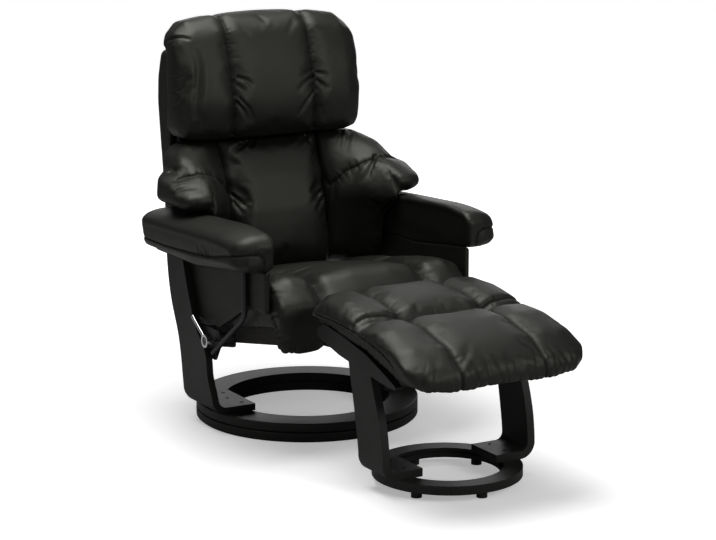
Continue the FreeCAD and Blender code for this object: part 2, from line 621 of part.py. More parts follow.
def back():
    low = BACK_FRAME_LOW_Z
    half = BACK_FRAME_HALF_W
    path = [vec(-half, BACK_FRAME_Y, low), vec(-half, BACK_FRAME_Y, BACK_FRAME_TOP_Z),
            vec(half, BACK_FRAME_Y, BACK_FRAME_TOP_Z), vec(half, BACK_FRAME_Y, low)]
    nodes["back_frame"] = bent_tube(path, BACK_FRAME_BEND_R, BACK_FRAME_D)
    straps = []
    web_low = CENTRE_LOW_Z
    web_high = BACK_FRAME_TOP_Z - BACK_FRAME_BEND_R
    for i in range(WEB_COUNT):
        z = web_low + (i + 0.5) * (web_high - web_low) / WEB_COUNT
        straps.append(box(-half, half, CUSHION_REAR_Y, CUSHION_REAR_Y + WEB_T, z - WEB_W / 2, z + WEB_W / 2))
    nodes["back_webbing"] = Part.makeCompound(straps)
    shell_shares = ((0.0, 0.0, 0.03), (0.0, 0.97, 0.03), (0.55, 1.0, 0.05), (0.93, 0.88, 0.12),
                    (1.0, 0.78, 0.2), (0.6, 0.46, 0.3), (0.36, 0.0, 0.04))
    points, radii = side_outline(shell_shares, SHELL_FRONT_Y, SHELL_REAR_Y, SHELL_LOW_Z, SHELL_TOP_Z)
    anchor = (SHELL_FRONT_Y, SHELL_LOW_Z)
    bow_shares = ((-1.0, 0.62, 0.985), (-0.93, 0.9, 0.995), (-0.7, 1.0, 1.0), (0.7, 1.0, 1.0),
                  (0.93, 0.9, 0.995), (1.0, 0.62, 0.985))
    nodes["back_shell"] = cushion([(x * SHELL_HALF_W, drawn_in(points, anchor, y, z), radii)
                                   for x, y, z in bow_shares])
    centre_cushion()
    wing()
    headrest()


def centre_cushion():
    depth = CUSHION_REAR_Y - CENTRE_FRONT_Y
    height = CUSHION_TOP_Z - CENTRE_LOW_Z
    outline_shares = ((0.0, 0.03, 0.12), (0.12, 0.42, 0.4), (0.3, 0.7, 0.3), (0.64, 1.0, 0.08),
                      (1.0, 1.0, 0.05), (1.0, 0.0, 0.05), (0.16, 0.0, 0.1))
    points, radii = side_outline(outline_shares, CENTRE_FRONT_Y, CUSHION_REAR_Y, CENTRE_LOW_Z,
                                 CUSHION_TOP_Z)
    radii = [min(r, depth / 3) for r in radii]
    anchor = (CUSHION_REAR_Y, CENTRE_LOW_Z + height / 2)
    crown_shares = ((-1.0, 0.8, 0.99), (-0.9, 0.93, 1.0), (-0.6, 0.99, 1.0), (0.6, 0.99, 1.0),
                    (0.9, 0.93, 1.0), (1.0, 0.8, 0.99))
    half = CENTRE_HALF_W - SEAM_GAP
    nodes["back_centre"] = cushion([(x * half, drawn_in(points, anchor, y, z), radii)
                                    for x, y, z in crown_shares])


def wing():
    """A side bolster: as deep as the back beside the centre panel, and outboard it rolls over the arm."""
    reach = WING_OUTER_X - CENTRE_HALF_W
    forward = CUSHION_REAR_Y - WING_FRONT_Y
    tall = CUSHION_TOP_Z - WING_LOW_Z
    # Across share, then the foot, front, high front and rear as shares of depth, then the low, front
    # and high levels as shares of height
    station_shares = ((0.0, 0.62, 0.56, 0.8, 1.0, -1.15, -0.04, 0.99),
                      (0.08, 0.6, 0.44, 0.75, 1.0, -1.15, 0.0, 1.0),
                      (0.3, 0.56, 0.2, 0.7, 1.0, -1.0, 0.16, 1.0),
                      (0.5, 0.42, 0.06, 0.7, 1.0, -0.8, 0.22, 0.98),
                      (0.596, 0.28, 0.03, 0.68, 0.96, -0.5, 0.24, 0.89),
                      (0.648, 0.11, 0.02, 0.6, 0.88, 0.0, 0.26, 0.79),
                      (0.78, 0.09, 0.0, 0.48, 0.74, 0.0, 0.24, 0.58),
                      (0.92, 0.13, 0.04, 0.4, 0.66, 0.03, 0.2, 0.44),
                      (1.0, 0.25, 0.16, 0.36, 0.56, 0.1, 0.18, 0.34))
    stations = []
    for across, foot, front, high_front, rear, low, level, high in station_shares:
        x = -CENTRE_HALF_W - SEAM_GAP - across * reach
        low_z = WING_LOW_Z + low * tall
        high_z = WING_LOW_Z + high * tall
        rear_y = WING_FRONT_Y + rear * forward
        points = [(WING_FRONT_Y + foot * forward, low_z),
                  (WING_FRONT_Y + front * forward, WING_LOW_Z + level * tall),
                  (WING_FRONT_Y + high_front * forward, high_z), (rear_y, high_z), (rear_y, low_z)]
        radius = (high_z - low_z) / 4
        stations.append((x, points, [radius, radius, radius, radius / 2, radius / 2]))
    nodes["back_wing_left"] = cushion(stations)


def headrest():
    points, radii = side_outline(HEAD_SHARES, HEAD_FRONT_Y, HEAD_REAR_Y, HEAD_LOW_Z, HEAD_TOP_Z)
    lip_z = SHELL_TOP_Z + SEAM_GAP * 2
    rear_y = CUSHION_REAR_Y
    points = points[:-1] + [(points[-1][0], lip_z), (rear_y, lip_z), (rear_y, HEAD_LOW_Z),
                            (HEAD_FRONT_Y + (rear_y - HEAD_FRONT_Y) / 4, HEAD_LOW_Z)]
    lip_r = (HEAD_TOP_Z - lip_z) / 8
    radii = radii[:-1] + [lip_r, lip_r, lip_r, lip_r * 2]
    anchor = (rear_y, lip_z)
    # Across share, then how far front, rear, bottom and top reach there
    crown_shares = ((1.0, 0.7, 0.1, 0.86, 0.2), (0.95, 0.88, 0.4, 0.96, 0.5), (0.82, 0.97, 0.8, 0.995, 0.84),
                    (0.53, 1.0, 1.0, 1.0, 0.98), (0.45, 0.93, 0.98, 0.995, 0.94), (0.36, 1.0, 1.0, 1.0, 1.0))
    both = [(-share[0],) + share[1:] for share in crown_shares] + list(reversed(crown_shares))
    stations = []
    for across, ahead, behind, drop, rise in both:
        outline = []
        for y, z in points:
            y_share = behind if y > rear_y else ahead
            z_share = rise if z > lip_z else drop
            outline.append((anchor[0] + (y - anchor[0]) * y_share, anchor[1] + (z - anchor[1]) * z_share))
        stations.append((across * HEAD_HALF_W, outline, [r * min(1.0, rise + behind / 4) for r in radii]))
    nodes["headrest"] = cushion(stations)


def stool_frame():
    middle = vec(0, STOOL_Y, 0)
    ring = annulus(STOOL_RING_R, STOOL_RING_INNER_R, STOOL_RING_LOW_Z, STOOL_RING_T, middle)
    step_z = STOOL_RING_LOW_Z + STOOL_RING_T / 2
    step_r = STOOL_RING_INNER_R + STOOL_RIM_STEP
    ring = ring.cut(Part.makeCylinder(step_r, STOOL_RING_T, middle + UP * step_z))
    glides = []
    for i in range(GLIDE_COUNT):
        turn = 2 * math.pi * (i + 0.5) / GLIDE_COUNT
        at = middle + vec(GLIDE_CIRCLE_R * math.cos(turn), GLIDE_CIRCLE_R * math.sin(turn), 0)
        glides.append(Part.makeCylinder(GLIDE_D / 2, STOOL_RING_LOW_Z, at))
    nodes["stool_glides"] = Part.makeCompound(glides)
    plate = stool_plate()
    low_z = STOOL_RING_TOP_Z
    high_z = STOOL_PLATE_LOW_Z + STOOL_PLATE_H / 3
    front = edge_points(STOOL_LEG_FRONT_SHARES, STOOL_Y, STOOL_LEG_WIDTH, low_z, high_z)
    rear = edge_points(STOOL_LEG_REAR_SHARES, STOOL_Y, STOOL_LEG_WIDTH, low_z, high_z)
    leg = bent_leg(STOOL_LEG_X, STOOL_LEG_T, low_z, high_z, STOOL_FOOT_END_X, front, rear)
    under = stool_plate_outline()[:4]
    roof_z = under[-1][1] + STOOL_PLATE_H
    above = side_prism(under + [(under[-1][0], roof_z), (under[0][0], roof_z)], -STOOL_LEG_X - OVERRUN, 0)
    leg = max(leg.cut(above).Solids, key=lambda s: s.Volume)
    head_z = low_z + STOOL_LEG_T - SCREW_SINK
    screws = []
    for y in (STOOL_Y - STOOL_HOLE_SPREAD / 2, STOOL_Y + STOOL_HOLE_SPREAD / 2):
        at = vec(-STOOL_HOLE_X, y, head_z)
        leg = leg.cut(screw_well(at, at - UP))
        screws.append(screw(at, at - UP))
    leg = leg.cut(Part.makeCompound(screws))
    screws += [mirrored(s) for s in screws]
    nodes["stool_leg_left"] = leg
    nodes["stool_leg_screws"] = Part.makeCompound(screws)
    nodes["stool_ring"] = ring.cut(nodes["stool_leg_screws"])
    nodes["stool_plate_left"] = plate


def stool_plate_outline():
    """Side outline of a footstool side plate: bottom edge front to rear, then top edge rear to front."""
    length = STOOL_PLATE_REAR - STOOL_PLATE_FRONT
    outline_shares = ((0.0, 0.0), (0.24, 0.06), (0.72, 0.32), (0.97, 0.56), (1.0, 0.76), (0.9, 0.98),
                      (0.66, 0.84), (0.4, 0.62), (0.17, 0.28))
    return [(STOOL_Y + STOOL_PLATE_FRONT + along * length, STOOL_PLATE_LOW_Z + up * STOOL_PLATE_H)
            for along, up in outline_shares]


def stool_plate():
    outline = [vec(-STOOL_LEG_X, y, z) for y, z in stool_plate_outline()]
    corner_r = STOOL_PLATE_H / 5
    return Part.Face(rounded_wire(outline, [corner_r] * len(outline))).extrude(vec(STOOL_PLATE_T, 0, 0))


def stool_top():
    inner_x = STOOL_LEG_X - STOOL_PLATE_T
    over = stool_plate_outline()[5:]
    under = [(y, z - STOOL_BOARD_T) for y, z in reversed(over)]
    nodes["stool_board"] = side_prism(over + under, -inner_x, inner_x)
    rails = []
    for y, z in (over[1], over[2]):
        at = vec(-inner_x, y, z - STOOL_BOARD_T - STOOL_CROSS_D / 2 - SEAM_GAP)
        rails.append(rod(at, at + ACROSS * 2 * inner_x, STOOL_CROSS_D))
    nodes["stool_cross_rails"] = Part.makeCompound(rails).cut(nodes["stool_board"])
    points, radii = side_outline(PAD_SHARES, STOOL_Y + STOOL_PAD_FRONT, STOOL_Y + STOOL_PAD_REAR,
                                 STOOL_PAD_LOW_Z, STOOL_PAD_TOP_Z)
    anchor = (STOOL_Y, (STOOL_PAD_LOW_Z + STOOL_PAD_TOP_Z) / 2)
    seam = STOOL_SEAM_X / STOOL_PAD_HALF_W
    crown_shares = [(1.0, 0.82, 0.4), (0.95, 0.9, 0.68), (0.83, 0.97, 0.92), (seam + 0.14, 0.99, 0.97),
                    (seam, 0.97, 0.83), (seam - 0.14, 0.995, 0.98)]
    both = [(-x, y, z) for x, y, z in crown_shares] + list(reversed(crown_shares))
    pad = cushion([(x * STOOL_PAD_HALF_W, drawn_in(points, anchor, y, z), radii) for x, y, z in both])
    under_top = [(y, z - STOOL_PLATE_H * 2) for y, z in reversed(over)]
    spread = STOOL_LEG_X + RUN_GAP
    nodes["stool_pad"] = pad.cut(side_prism(over + under_top, -spread, spread)).cut(stool_plate()) \
        .cut(mirrored(stool_plate()))


turning_ring = swivel_base()
arms()
legs(turning_ring)
struts_and_brackets()
pivots_and_lock()
seat()
back()
hinges()
stool_frame()
stool_top()
for name in [n for n in nodes if n.endswith("_left") and n.replace("_left", "_right") not in nodes]:
    nodes[name.replace("_left", "_right")] = mirrored(nodes[name])

os.makedirs("parts", exist_ok=True)
for name, shape in nodes.items():
    shape.exportStep("parts/" + name + ".step")
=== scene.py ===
import math

import bmesh
import bpy
import numpy as np
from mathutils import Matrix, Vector
from mathutils.bvhtree import BVHTree


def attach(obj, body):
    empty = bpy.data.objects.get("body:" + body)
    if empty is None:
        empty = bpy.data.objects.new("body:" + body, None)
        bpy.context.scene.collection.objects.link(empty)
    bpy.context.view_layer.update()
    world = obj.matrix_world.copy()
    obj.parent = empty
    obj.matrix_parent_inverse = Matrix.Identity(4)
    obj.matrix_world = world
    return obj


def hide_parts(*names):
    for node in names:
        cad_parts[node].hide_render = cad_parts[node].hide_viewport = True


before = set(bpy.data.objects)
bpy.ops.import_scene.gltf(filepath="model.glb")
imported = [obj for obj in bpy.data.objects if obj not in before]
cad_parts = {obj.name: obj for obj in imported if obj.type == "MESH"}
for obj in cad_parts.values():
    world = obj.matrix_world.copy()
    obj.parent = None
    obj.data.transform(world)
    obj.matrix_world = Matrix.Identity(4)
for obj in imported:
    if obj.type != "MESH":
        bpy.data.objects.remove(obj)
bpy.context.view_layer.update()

# Floor ring and turning ring
# Two black lacquered wooden rings run on each other over a ball race, with felt underneath.
# The finish is a thin satin lacquer that lets a little of the long grain show.


class Tone:
    """One value in a finish's node tree. Arithmetic on it adds Math nodes."""

    def __init__(self, finish, socket):
        self.finish = finish
        self.socket = socket

    def _math(self, operation, first, second):
        return self.finish.node("ShaderNodeMath", {"operation": operation}, {0: first, 1: second})

    def __add__(self, other):
        return self._math("ADD", self, other)

    __radd__ = __add__

    def __mul__(self, other):
        return self._math("MULTIPLY", self, other)

    __rmul__ = __mul__

    def __sub__(self, other):
        return self._math("SUBTRACT", self, other)


class Finish:
    """A material on a Principled shader, with one way to add any node."""

    def __init__(self, name, fixed):
        self.material = bpy.data.materials.new(name)
        self.material.use_nodes = True
        self.tree = self.material.node_tree
        self.shader = next(n for n in self.tree.nodes if n.type == "BSDF_PRINCIPLED")
        for socket, value in fixed.items():
            self.shader.inputs[socket].default_value = value

    def node(self, kind, settings, sockets, out=0):
        made = self.tree.nodes.new(kind)
        for key, value in settings.items():
            setattr(made, key, value)
        for key, value in sockets.items():
            self.join(value, made.inputs[key])
        return Tone(self, made.outputs[out])

    def join(self, value, socket):
        if isinstance(value, Tone):
            self.tree.links.new(value.socket, socket)
        else:
            socket.default_value = value

    def place(self, stretch=(1, 1, 1)):
        at = self.node("ShaderNodeTexCoord", {}, {}, out=3)
        return self.node("ShaderNodeMapping", {}, {"Vector": at, "Scale": stretch})

    def noise(self, scale, detail=3.0, stretch=(1, 1, 1)):
        return self.node("ShaderNodeTexNoise", {},
                         {"Vector": self.place(stretch), "Scale": scale, "Detail": detail})

    def blend(self, share, first, second):
        return self.node("ShaderNodeMix", {"data_type": "RGBA"}, {0: share, 6: first, 7: second}, out=2)

    def bump(self, height, depth, strength=1.0):
        lift = self.node("ShaderNodeBump", {}, {"Height": height, "Distance": depth, "Strength": strength})
        self.join(lift, self.shader.inputs["Normal"])

    def feeds(self, **tones):
        for name, tone in tones.items():
            self.join(tone, self.shader.inputs[name.replace("_", " ")])


def lacquer(name, stretch):
    finish = Finish(name, {"Specular IOR Level": 0.3})
    grain = finish.noise(60, 6, stretch)
    drift = finish.noise(7, 2)
    finish.feeds(Base_Color=finish.blend(grain, (0.010, 0.0095, 0.009, 1), (0.024, 0.022, 0.020, 1)),
                 Roughness=0.36 + 0.14 * drift + 0.08 * grain)
    finish.bump(grain + finish.noise(900, 2) * 0.3, 0.0004, 0.5)
    return finish.material


def finish_nodes(material, *names):
    for name in names:
        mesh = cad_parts[name].data
        mesh.materials.clear()
        mesh.materials.append(material)


ring_lacquer = lacquer("ring_lacquer", (1, 1, 6))
finish_nodes(ring_lacquer, "base_ring", "turn_ring", "stool_ring")

felt = Finish("black_felt", {"Specular IOR Level": 0.15})
fuzz = felt.noise(1400, 4)
felt.feeds(Base_Color=felt.blend(fuzz, (0.008, 0.008, 0.008, 1), (0.03, 0.03, 0.03, 1)),
           Roughness=0.85 + 0.1 * fuzz)
felt.bump(fuzz, 0.0006)
finish_nodes(felt.material, "floor_felt", "dust_cover", "back_webbing")

steel = Finish("zinc_steel", {"Metallic": 1.0})
brushing = steel.noise(300, 3, (1, 1, 12))
steel.feeds(Base_Color=steel.blend(brushing, (0.34, 0.34, 0.34, 1), (0.5, 0.5, 0.5, 1)),
            Roughness=0.3 + 0.2 * brushing)
steel.bump(brushing, 0.0001)
finish_nodes(steel.material, "lower_race", "upper_race", "ball_cage", "seat_springs", "pivot_stud_left",
             "pivot_stud_right", "hinge_pin_left", "hinge_pin_right")

# Bent legs, with their screws
# Laminated beech strips are bent under the chair and the footstool and screwed to the rings.
# They are lacquered black with the grain running along the strip.
leg_lacquer = lacquer("leg_lacquer", (5, 5, 0.6))
finish_nodes(leg_lacquer, "leg_left", "leg_right", "stool_leg_left", "stool_leg_right", "stool_plate_left",
             "stool_plate_right")
black_screw = Finish("black_screw", {"Metallic": 1.0})
worn = black_screw.noise(500, 3)
black_screw.feeds(Base_Color=black_screw.blend(worn, (0.01, 0.01, 0.01, 1), (0.06, 0.06, 0.06, 1)),
                  Roughness=0.35 + 0.2 * worn)
black_screw.bump(worn, 0.0001)
finish_nodes(black_screw.material, "leg_screws", "stool_leg_screws", "bracket_bolts")

# Struts, brackets and hidden steel
# Bent tube and cut plate hold the arms and carry the seat. All of it is powder coated black.
powder = Finish("powder_coat", {"Specular IOR Level": 0.5})
orange_peel = powder.noise(800, 2)
powder.feeds(Base_Color=powder.blend(orange_peel, (0.008, 0.008, 0.008, 1), (0.016, 0.016, 0.016, 1)),
             Roughness=0.36 + 0.12 * orange_peel)
powder.bump(orange_peel, 0.0003, 0.6)
finish_nodes(powder.material, "strut_left", "strut_right", "pivot_bracket_left", "pivot_bracket_right",
             "pivot_plate_left", "pivot_plate_right", "hinge_plate_left", "hinge_plate_right",
             "hinge_arm_left", "hinge_arm_right", "back_frame", "stool_cross_rails")

# Recline lever
# A chrome handle clamps the seat's pivot. Its hub has a dark moulded cap in the middle.
chrome = Finish("bright_chrome", {"Metallic": 1.0})
smear = chrome.noise(40, 4)
chrome.feeds(Base_Color=chrome.blend(smear, (0.72, 0.72, 0.73, 1), (0.8, 0.8, 0.8, 1)),
             Roughness=0.08 + 0.1 * smear)
chrome.bump(smear, 0.0001)
finish_nodes(chrome.material, "recline_lever")
cap_plastic = Finish("cap_plastic", {"Specular IOR Level": 0.5})
moulding = cap_plastic.noise(900, 2)
cap_plastic.feeds(Base_Color=cap_plastic.blend(moulding, (0.012, 0.012, 0.012, 1), (0.03, 0.03, 0.03, 1)),
                  Roughness=0.25 + 0.15 * moulding)
cap_plastic.bump(moulding, 0.0002)
finish_nodes(cap_plastic.material, "hub_cap", "stool_glides")

# Wooden rails and boards inside the upholstery
# Plywood stained black, seen only from below and behind.
ply = Finish("stained_plywood", {"Specular IOR Level": 0.3})
plies = ply.noise(30, 4, (1, 8, 8))
ply.feeds(Base_Color=ply.blend(plies, (0.012, 0.011, 0.010, 1), (0.030, 0.027, 0.024, 1)),
          Roughness=0.6 + 0.2 * plies)
ply.bump(plies, 0.0005)
finish_nodes(ply.material, "arm_board_left", "arm_board_right", "seat_rail_left", "seat_rail_right",
             "seat_rail_front", "seat_rail_rear", "stool_board")

# Seat cushion
# Foam and filling under soft black leather, in three sewn panels, with a nose that falls over the front.
# The leather swells between its seams and puckers a little where it is sewn.
leather = Finish("black_leather", {"Specular IOR Level": 0.40, "Specular Tint": (1.0, 1.0, 0.9, 1)})
cells = leather.node("ShaderNodeTexVoronoi", {"feature": "DISTANCE_TO_EDGE"},
                     {"Vector": leather.place(), "Scale": 560.0, "Randomness": 1.0})
pebble = leather.node("ShaderNodeMapRange", {}, {0: cells, 1: 0.0, 2: 0.12, 3: 0.0, 4: 1.0})
wrinkles = leather.noise(190, 5)
mottle = leather.noise(14, 4)
# The seam attribute marks sewn lines. There the leather's colour goes near black as painted crease shade,
# and the leather turns rougher.
seam = leather.node("ShaderNodeAttribute", {"attribute_name": "seam"}, {}, out=2)
plain = leather.blend(mottle, (0.0042, 0.0043, 0.0034, 1), (0.0080, 0.0081, 0.0066, 1))
leather.feeds(Base_Color=leather.blend(seam, plain, (0.0008, 0.0008, 0.0006, 1)),
              Roughness=0.42 + 0.12 * mottle - 0.05 * pebble + 0.45 * seam)
leather.bump(pebble * 0.5 + wrinkles, 0.0004, 0.5)


def coords(mesh):
    flat = np.empty(len(mesh.vertices) * 3)
    mesh.vertices.foreach_get("co", flat)
    return flat.reshape(-1, 3)


def put(mesh, places):
    mesh.vertices.foreach_set("co", np.asarray(places, np.float32).ravel())
    mesh.update()


def normals(mesh):
    flat = np.empty(len(mesh.vertices) * 3, np.float32)
    mesh.vertex_normals.foreach_get("vector", flat)
    return flat.reshape(-1, 3).astype(float)


def evened(mesh, times):
    """Takes the corners off a surface without making it smaller."""
    places = coords(mesh)
    pairs = np.empty(len(mesh.edges) * 2, np.int64)
    mesh.edges.foreach_get("vertices", pairs)
    a, b = pairs[0::2], pairs[1::2]
    count = np.bincount(pairs, minlength=len(places))
    smooth, regrow = 0.5, -0.53
    for step in [smooth, regrow] * times:
        total = [np.bincount(a, places[b, i], len(places)) + np.bincount(b, places[a, i], len(places))
                 for i in range(3)]
        mean = np.stack(total, 1) / count[:, None]
        places = places + (mean - places) * step
    put(mesh, places)


def fixed(piece):
    """Turns a piece's modifiers into plain mesh."""
    made = bpy.data.meshes.new_from_object(piece.evaluated_get(bpy.context.evaluated_depsgraph_get()))
    piece.modifiers.clear()
    piece.data = made
    made.name = piece.name
    made.polygons.foreach_set("use_smooth", np.ones(len(made.polygons), bool))


def blank(name, node, voxel, times, drawn=None):
    """A cushion's plain form, remeshed evenly from its CAD solid, drawn out where asked, and softened."""
    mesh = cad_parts[node].data.copy()
    if drawn:
        put(mesh, drawn(coords(mesh)))
    shape = bmesh.new()
    shape.from_mesh(mesh)
    bmesh.ops.remove_doubles(shape, verts=shape.verts, dist=0.00002)
    bmesh.ops.recalc_face_normals(shape, faces=shape.faces)
    shape.to_mesh(mesh)
    shape.free()
    piece = bpy.data.objects.new(name, mesh)
    bpy.context.scene.collection.objects.link(piece)
    remesh = piece.modifiers.new("even", "REMESH")
    remesh.mode = "VOXEL"
    remesh.voxel_size = voxel
    fixed(piece)
    evened(piece.data, times)
    return piece


def on_surface(piece, starts, aims, count=90):
    """A line on a piece: where rays from a row of outer points to a row of inner points meet it."""
    surface = BVHTree.FromPolygons([v.co for v in piece.data.vertices],
                                   [p.vertices for p in piece.data.polygons])
    ends = []
    for rough in (starts, aims):
        rough = np.asarray(rough, float)
        at = np.linspace(0, len(rough) - 1, count)
        ends.append(np.stack([np.interp(at, range(len(rough)), rough[:, i]) for i in range(3)], 1))
    line = []
    for start, aim in zip(*ends):
        hit = surface.ray_cast(Vector(start), Vector(aim - start).normalized())[0]
        if hit is not None:
            line.append(hit)
    line = np.array(line)
    for _ in range(2):
        line[1:-1] = (line[:-2] + line[1:-1] * 2 + line[2:]) / 4
    return line


def from_line(places, line):
    """How far each place is from a seam, how far along the seam, and which way the seam runs there."""
    near = np.full(len(places), 1.0)
    along = np.zeros(len(places))
    course = np.zeros_like(places)
    foot = np.zeros_like(places)
    run = 0.0
    low, high = line.min(0) - 0.12, line.max(0) + 0.12
    some = np.nonzero(((places > low) & (places < high)).all(1))[0]
    part = places[some]
    for a, b in zip(line[:-1], line[1:]):
        span = b - a
        length = np.linalg.norm(span) + 1e-9
        t = np.clip((part - a) @ span / length ** 2, 0, 1)
        point = a + t[:, None] * span
        away = np.linalg.norm(part - point, axis=1)
        closer = away < near[some]
        hit = some[closer]
        near[hit] = away[closer]
        along[hit] = run + t[closer] * length
        course[hit] = span / length
        foot[hit] = point[closer]
        run += length
    return near, along, course, foot


def sink(piece, line, depth, width, fade=0.0):
    """Draws the leather in along a seam, to a sharp line that can fade out towards its far end."""
    places = coords(piece.data)
    near, along = from_line(places, line)[:2]
    if fade:
        depth = depth * np.clip((1 - along / along.max()) / fade, 0, 1)
    put(piece.data, places - normals(piece.data) * (depth * np.exp(-near / width))[:, None])
    return np.exp(-(near / 0.006) ** 2)


def crease(piece, line, depth, width):
    """Pulls a sewn line in sharply and marks it, for the leather to dull along it and darken there as
    painted crease shade.
    """
    near = from_line(coords(piece.data), line)[0]
    # Records where painted crease shade goes along the line, for the leather's colour to darken and roughen
    # there.
    seam_shade_mark = piece.data.attributes.get("seam") or piece.data.attributes.new("seam", "FLOAT", "POINT")
    shade = np.empty(len(piece.data.vertices), np.float32)
    seam_shade_mark.data.foreach_get("value", shade)
    seam_shade_mark.data.foreach_set("value", np.maximum(shade, np.exp(-(near / 0.0035) ** 2)).astype(np.float32))
    sink(piece, line, depth, width)


def gather(piece, line, side, tucks, depth, reach, seed, span=(0.0, 1.0), width=0.0045):
    """Small tucks that fan out from a seam to one side of it, or to both where side is 0."""
    places = coords(piece.data)
    lift = normals(piece.data)
    near, along, course, foot = from_line(places, line)
    hand = np.einsum("ij,ij->i", np.cross(course, lift), places - foot)
    whole = along.max()
    chance = np.random.default_rng(seed)
    height = np.zeros(len(places))
    for k in range(tucks):
        at = whole * (span[0] + (span[1] - span[0]) * (k + chance.uniform(0.2, 0.8)) / tucks)
        far = reach * chance.uniform(0.5, 1.3)
        lean = chance.uniform(-0.35, 0.35)
        x = (along - at - lean * near) / (width * chance.uniform(0.8, 1.3) + 0.12 * near)
        height += (chance.uniform(0.4, 1.0) * (1.1 * x * x - 1) * np.exp(-x * x)
                   * np.exp(-(near / far) ** 1.6))
    if side:
        height *= 1 / (1 + np.exp(-side * hand / 0.003))
    put(piece.data, places + lift * (height * depth)[:, None])


VIEW = np.array((0.489, 0.846, -0.212))


def fold(piece, rough, depth, width, open_end=False):
    """One long crease through points in mm laid along the line of sight, with leather standing up beside it.

    It fades at both ends, or starts full at a seam where open_end is set.
    """
    rough = np.asarray(rough, float) / 1000
    line = on_surface(piece, rough - VIEW * 0.06, rough + VIEW * 0.06, 24)
    places = coords(piece.data)
    near, along = from_line(places, line)[:2]
    share = np.clip(along / along.max(), 0, 1)
    fade = np.cos(share * math.pi / 2) if open_end else np.sin(share * math.pi) ** 0.7
    x = near / (width * (1 + share if open_end else 1))
    height = depth * fade * (0.9 * x * x - 1) * np.exp(-x * x)
    put(piece.data, places + normals(piece.data) * height[:, None])


def swell(piece, sewn, pressure, cap):
    """Blows the leather up over its filling, held where it is sewn."""
    start = coords(piece.data)
    group = piece.vertex_groups.new(name="sewn")
    for step in range(1, 11):
        some = np.nonzero(np.round(sewn * 10).astype(int) == step)[0]
        group.add(some.tolist(), step / 10, "REPLACE")
    cloth = piece.modifiers.new("filling", "CLOTH")
    cloth.settings.vertex_group_mass = "sewn"
    cloth.settings.use_pressure = True
    cloth.settings.uniform_pressure_force = pressure
    cloth.settings.shrink_min = -0.004
    cloth.settings.bending_stiffness = 2.0
    cloth.settings.effector_weights.gravity = 0
    cloth.collision_settings.use_collision = False
    cloth.point_cache.frame_start = 1
    cloth.point_cache.frame_end = 20
    for step in range(1, 21):
        bpy.context.scene.frame_set(step)
    moved = coords(piece.evaluated_get(bpy.context.evaluated_depsgraph_get()).data) - start
    piece.modifiers.clear()
    piece.vertex_groups.clear()
    bpy.context.scene.frame_set(1)
    far = np.linalg.norm(moved, axis=1)[:, None]
    put(piece.data, start + moved * (np.tanh(far / cap) * cap / np.maximum(far, 1e-9)))
    evened(piece.data, 2)


def finer(piece):
    more = piece.modifiers.new("finer", "SUBSURF")
    more.levels = 1
    more.render_levels = 1
    fixed(piece)


def cover(piece, body, node):
    piece.data.materials.clear()
    piece.data.materials.append(leather.material)
    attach(piece, body)
    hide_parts(node)


seat = blank("seat_leather", "seat_cushion", 0.006, 14)
sewn = np.where(normals(seat.data)[:, 2] < -0.75, 1.0, 0.0)


def seat_seam(x):
    outer = [(x, 0.14, 0.48), (x, -0.10, 0.62), (x, -0.33, 0.62), (x, -0.52, 0.46), (x, -0.56, 0.30),
             (x, -0.50, 0.17)]
    return on_surface(seat, outer, [(x, -0.28, 0.33)] * 2)


for x in (-0.150, 0.150):
    sewn = np.maximum(sewn, sink(seat, seat_seam(x), 0.010, 0.012, 0.5))
swell(seat, sewn, 4.0, 0.008)
finer(seat)
for x in (-0.150, 0.150):
    line = seat_seam(x)
    crease(seat, line, 0.0055, 0.0028)
    gather(seat, line, 0, 26, 0.0012, 0.014, 3 if x > 0 else 4)
for x in (-1, 1):
    rim = ((-0.295, 0.415), (-0.315, 0.384), (-0.338, 0.346), (-0.356, 0.315), (-0.366, 0.27),
           (-0.362, 0.225))
    corner = on_surface(seat, [(x * 0.45, y, z) for y, z in rim], [(x * 0.1, y, z) for y, z in rim])
    sink(seat, corner, 0.004, 0.004)
    gather(seat, corner, 0, 11, 0.0035, 0.022, 7)
cover(seat, "seat", "seat_cushion")

# Arms
# Padded leather over a board. A band is sewn round the lower edge, and the top is gathered onto it at
# the front corners. A leather panel hangs down inside, beside the seat.


thread = Finish("waxed_thread", {"Specular IOR Level": 0.4})
twist = thread.noise(2600, 2)
thread.feeds(Base_Color=thread.blend(twist, (0.018, 0.018, 0.016, 1), (0.045, 0.044, 0.04, 1)),
             Roughness=0.5 + 0.2 * twist)
thread.bump(twist, 0.0002)


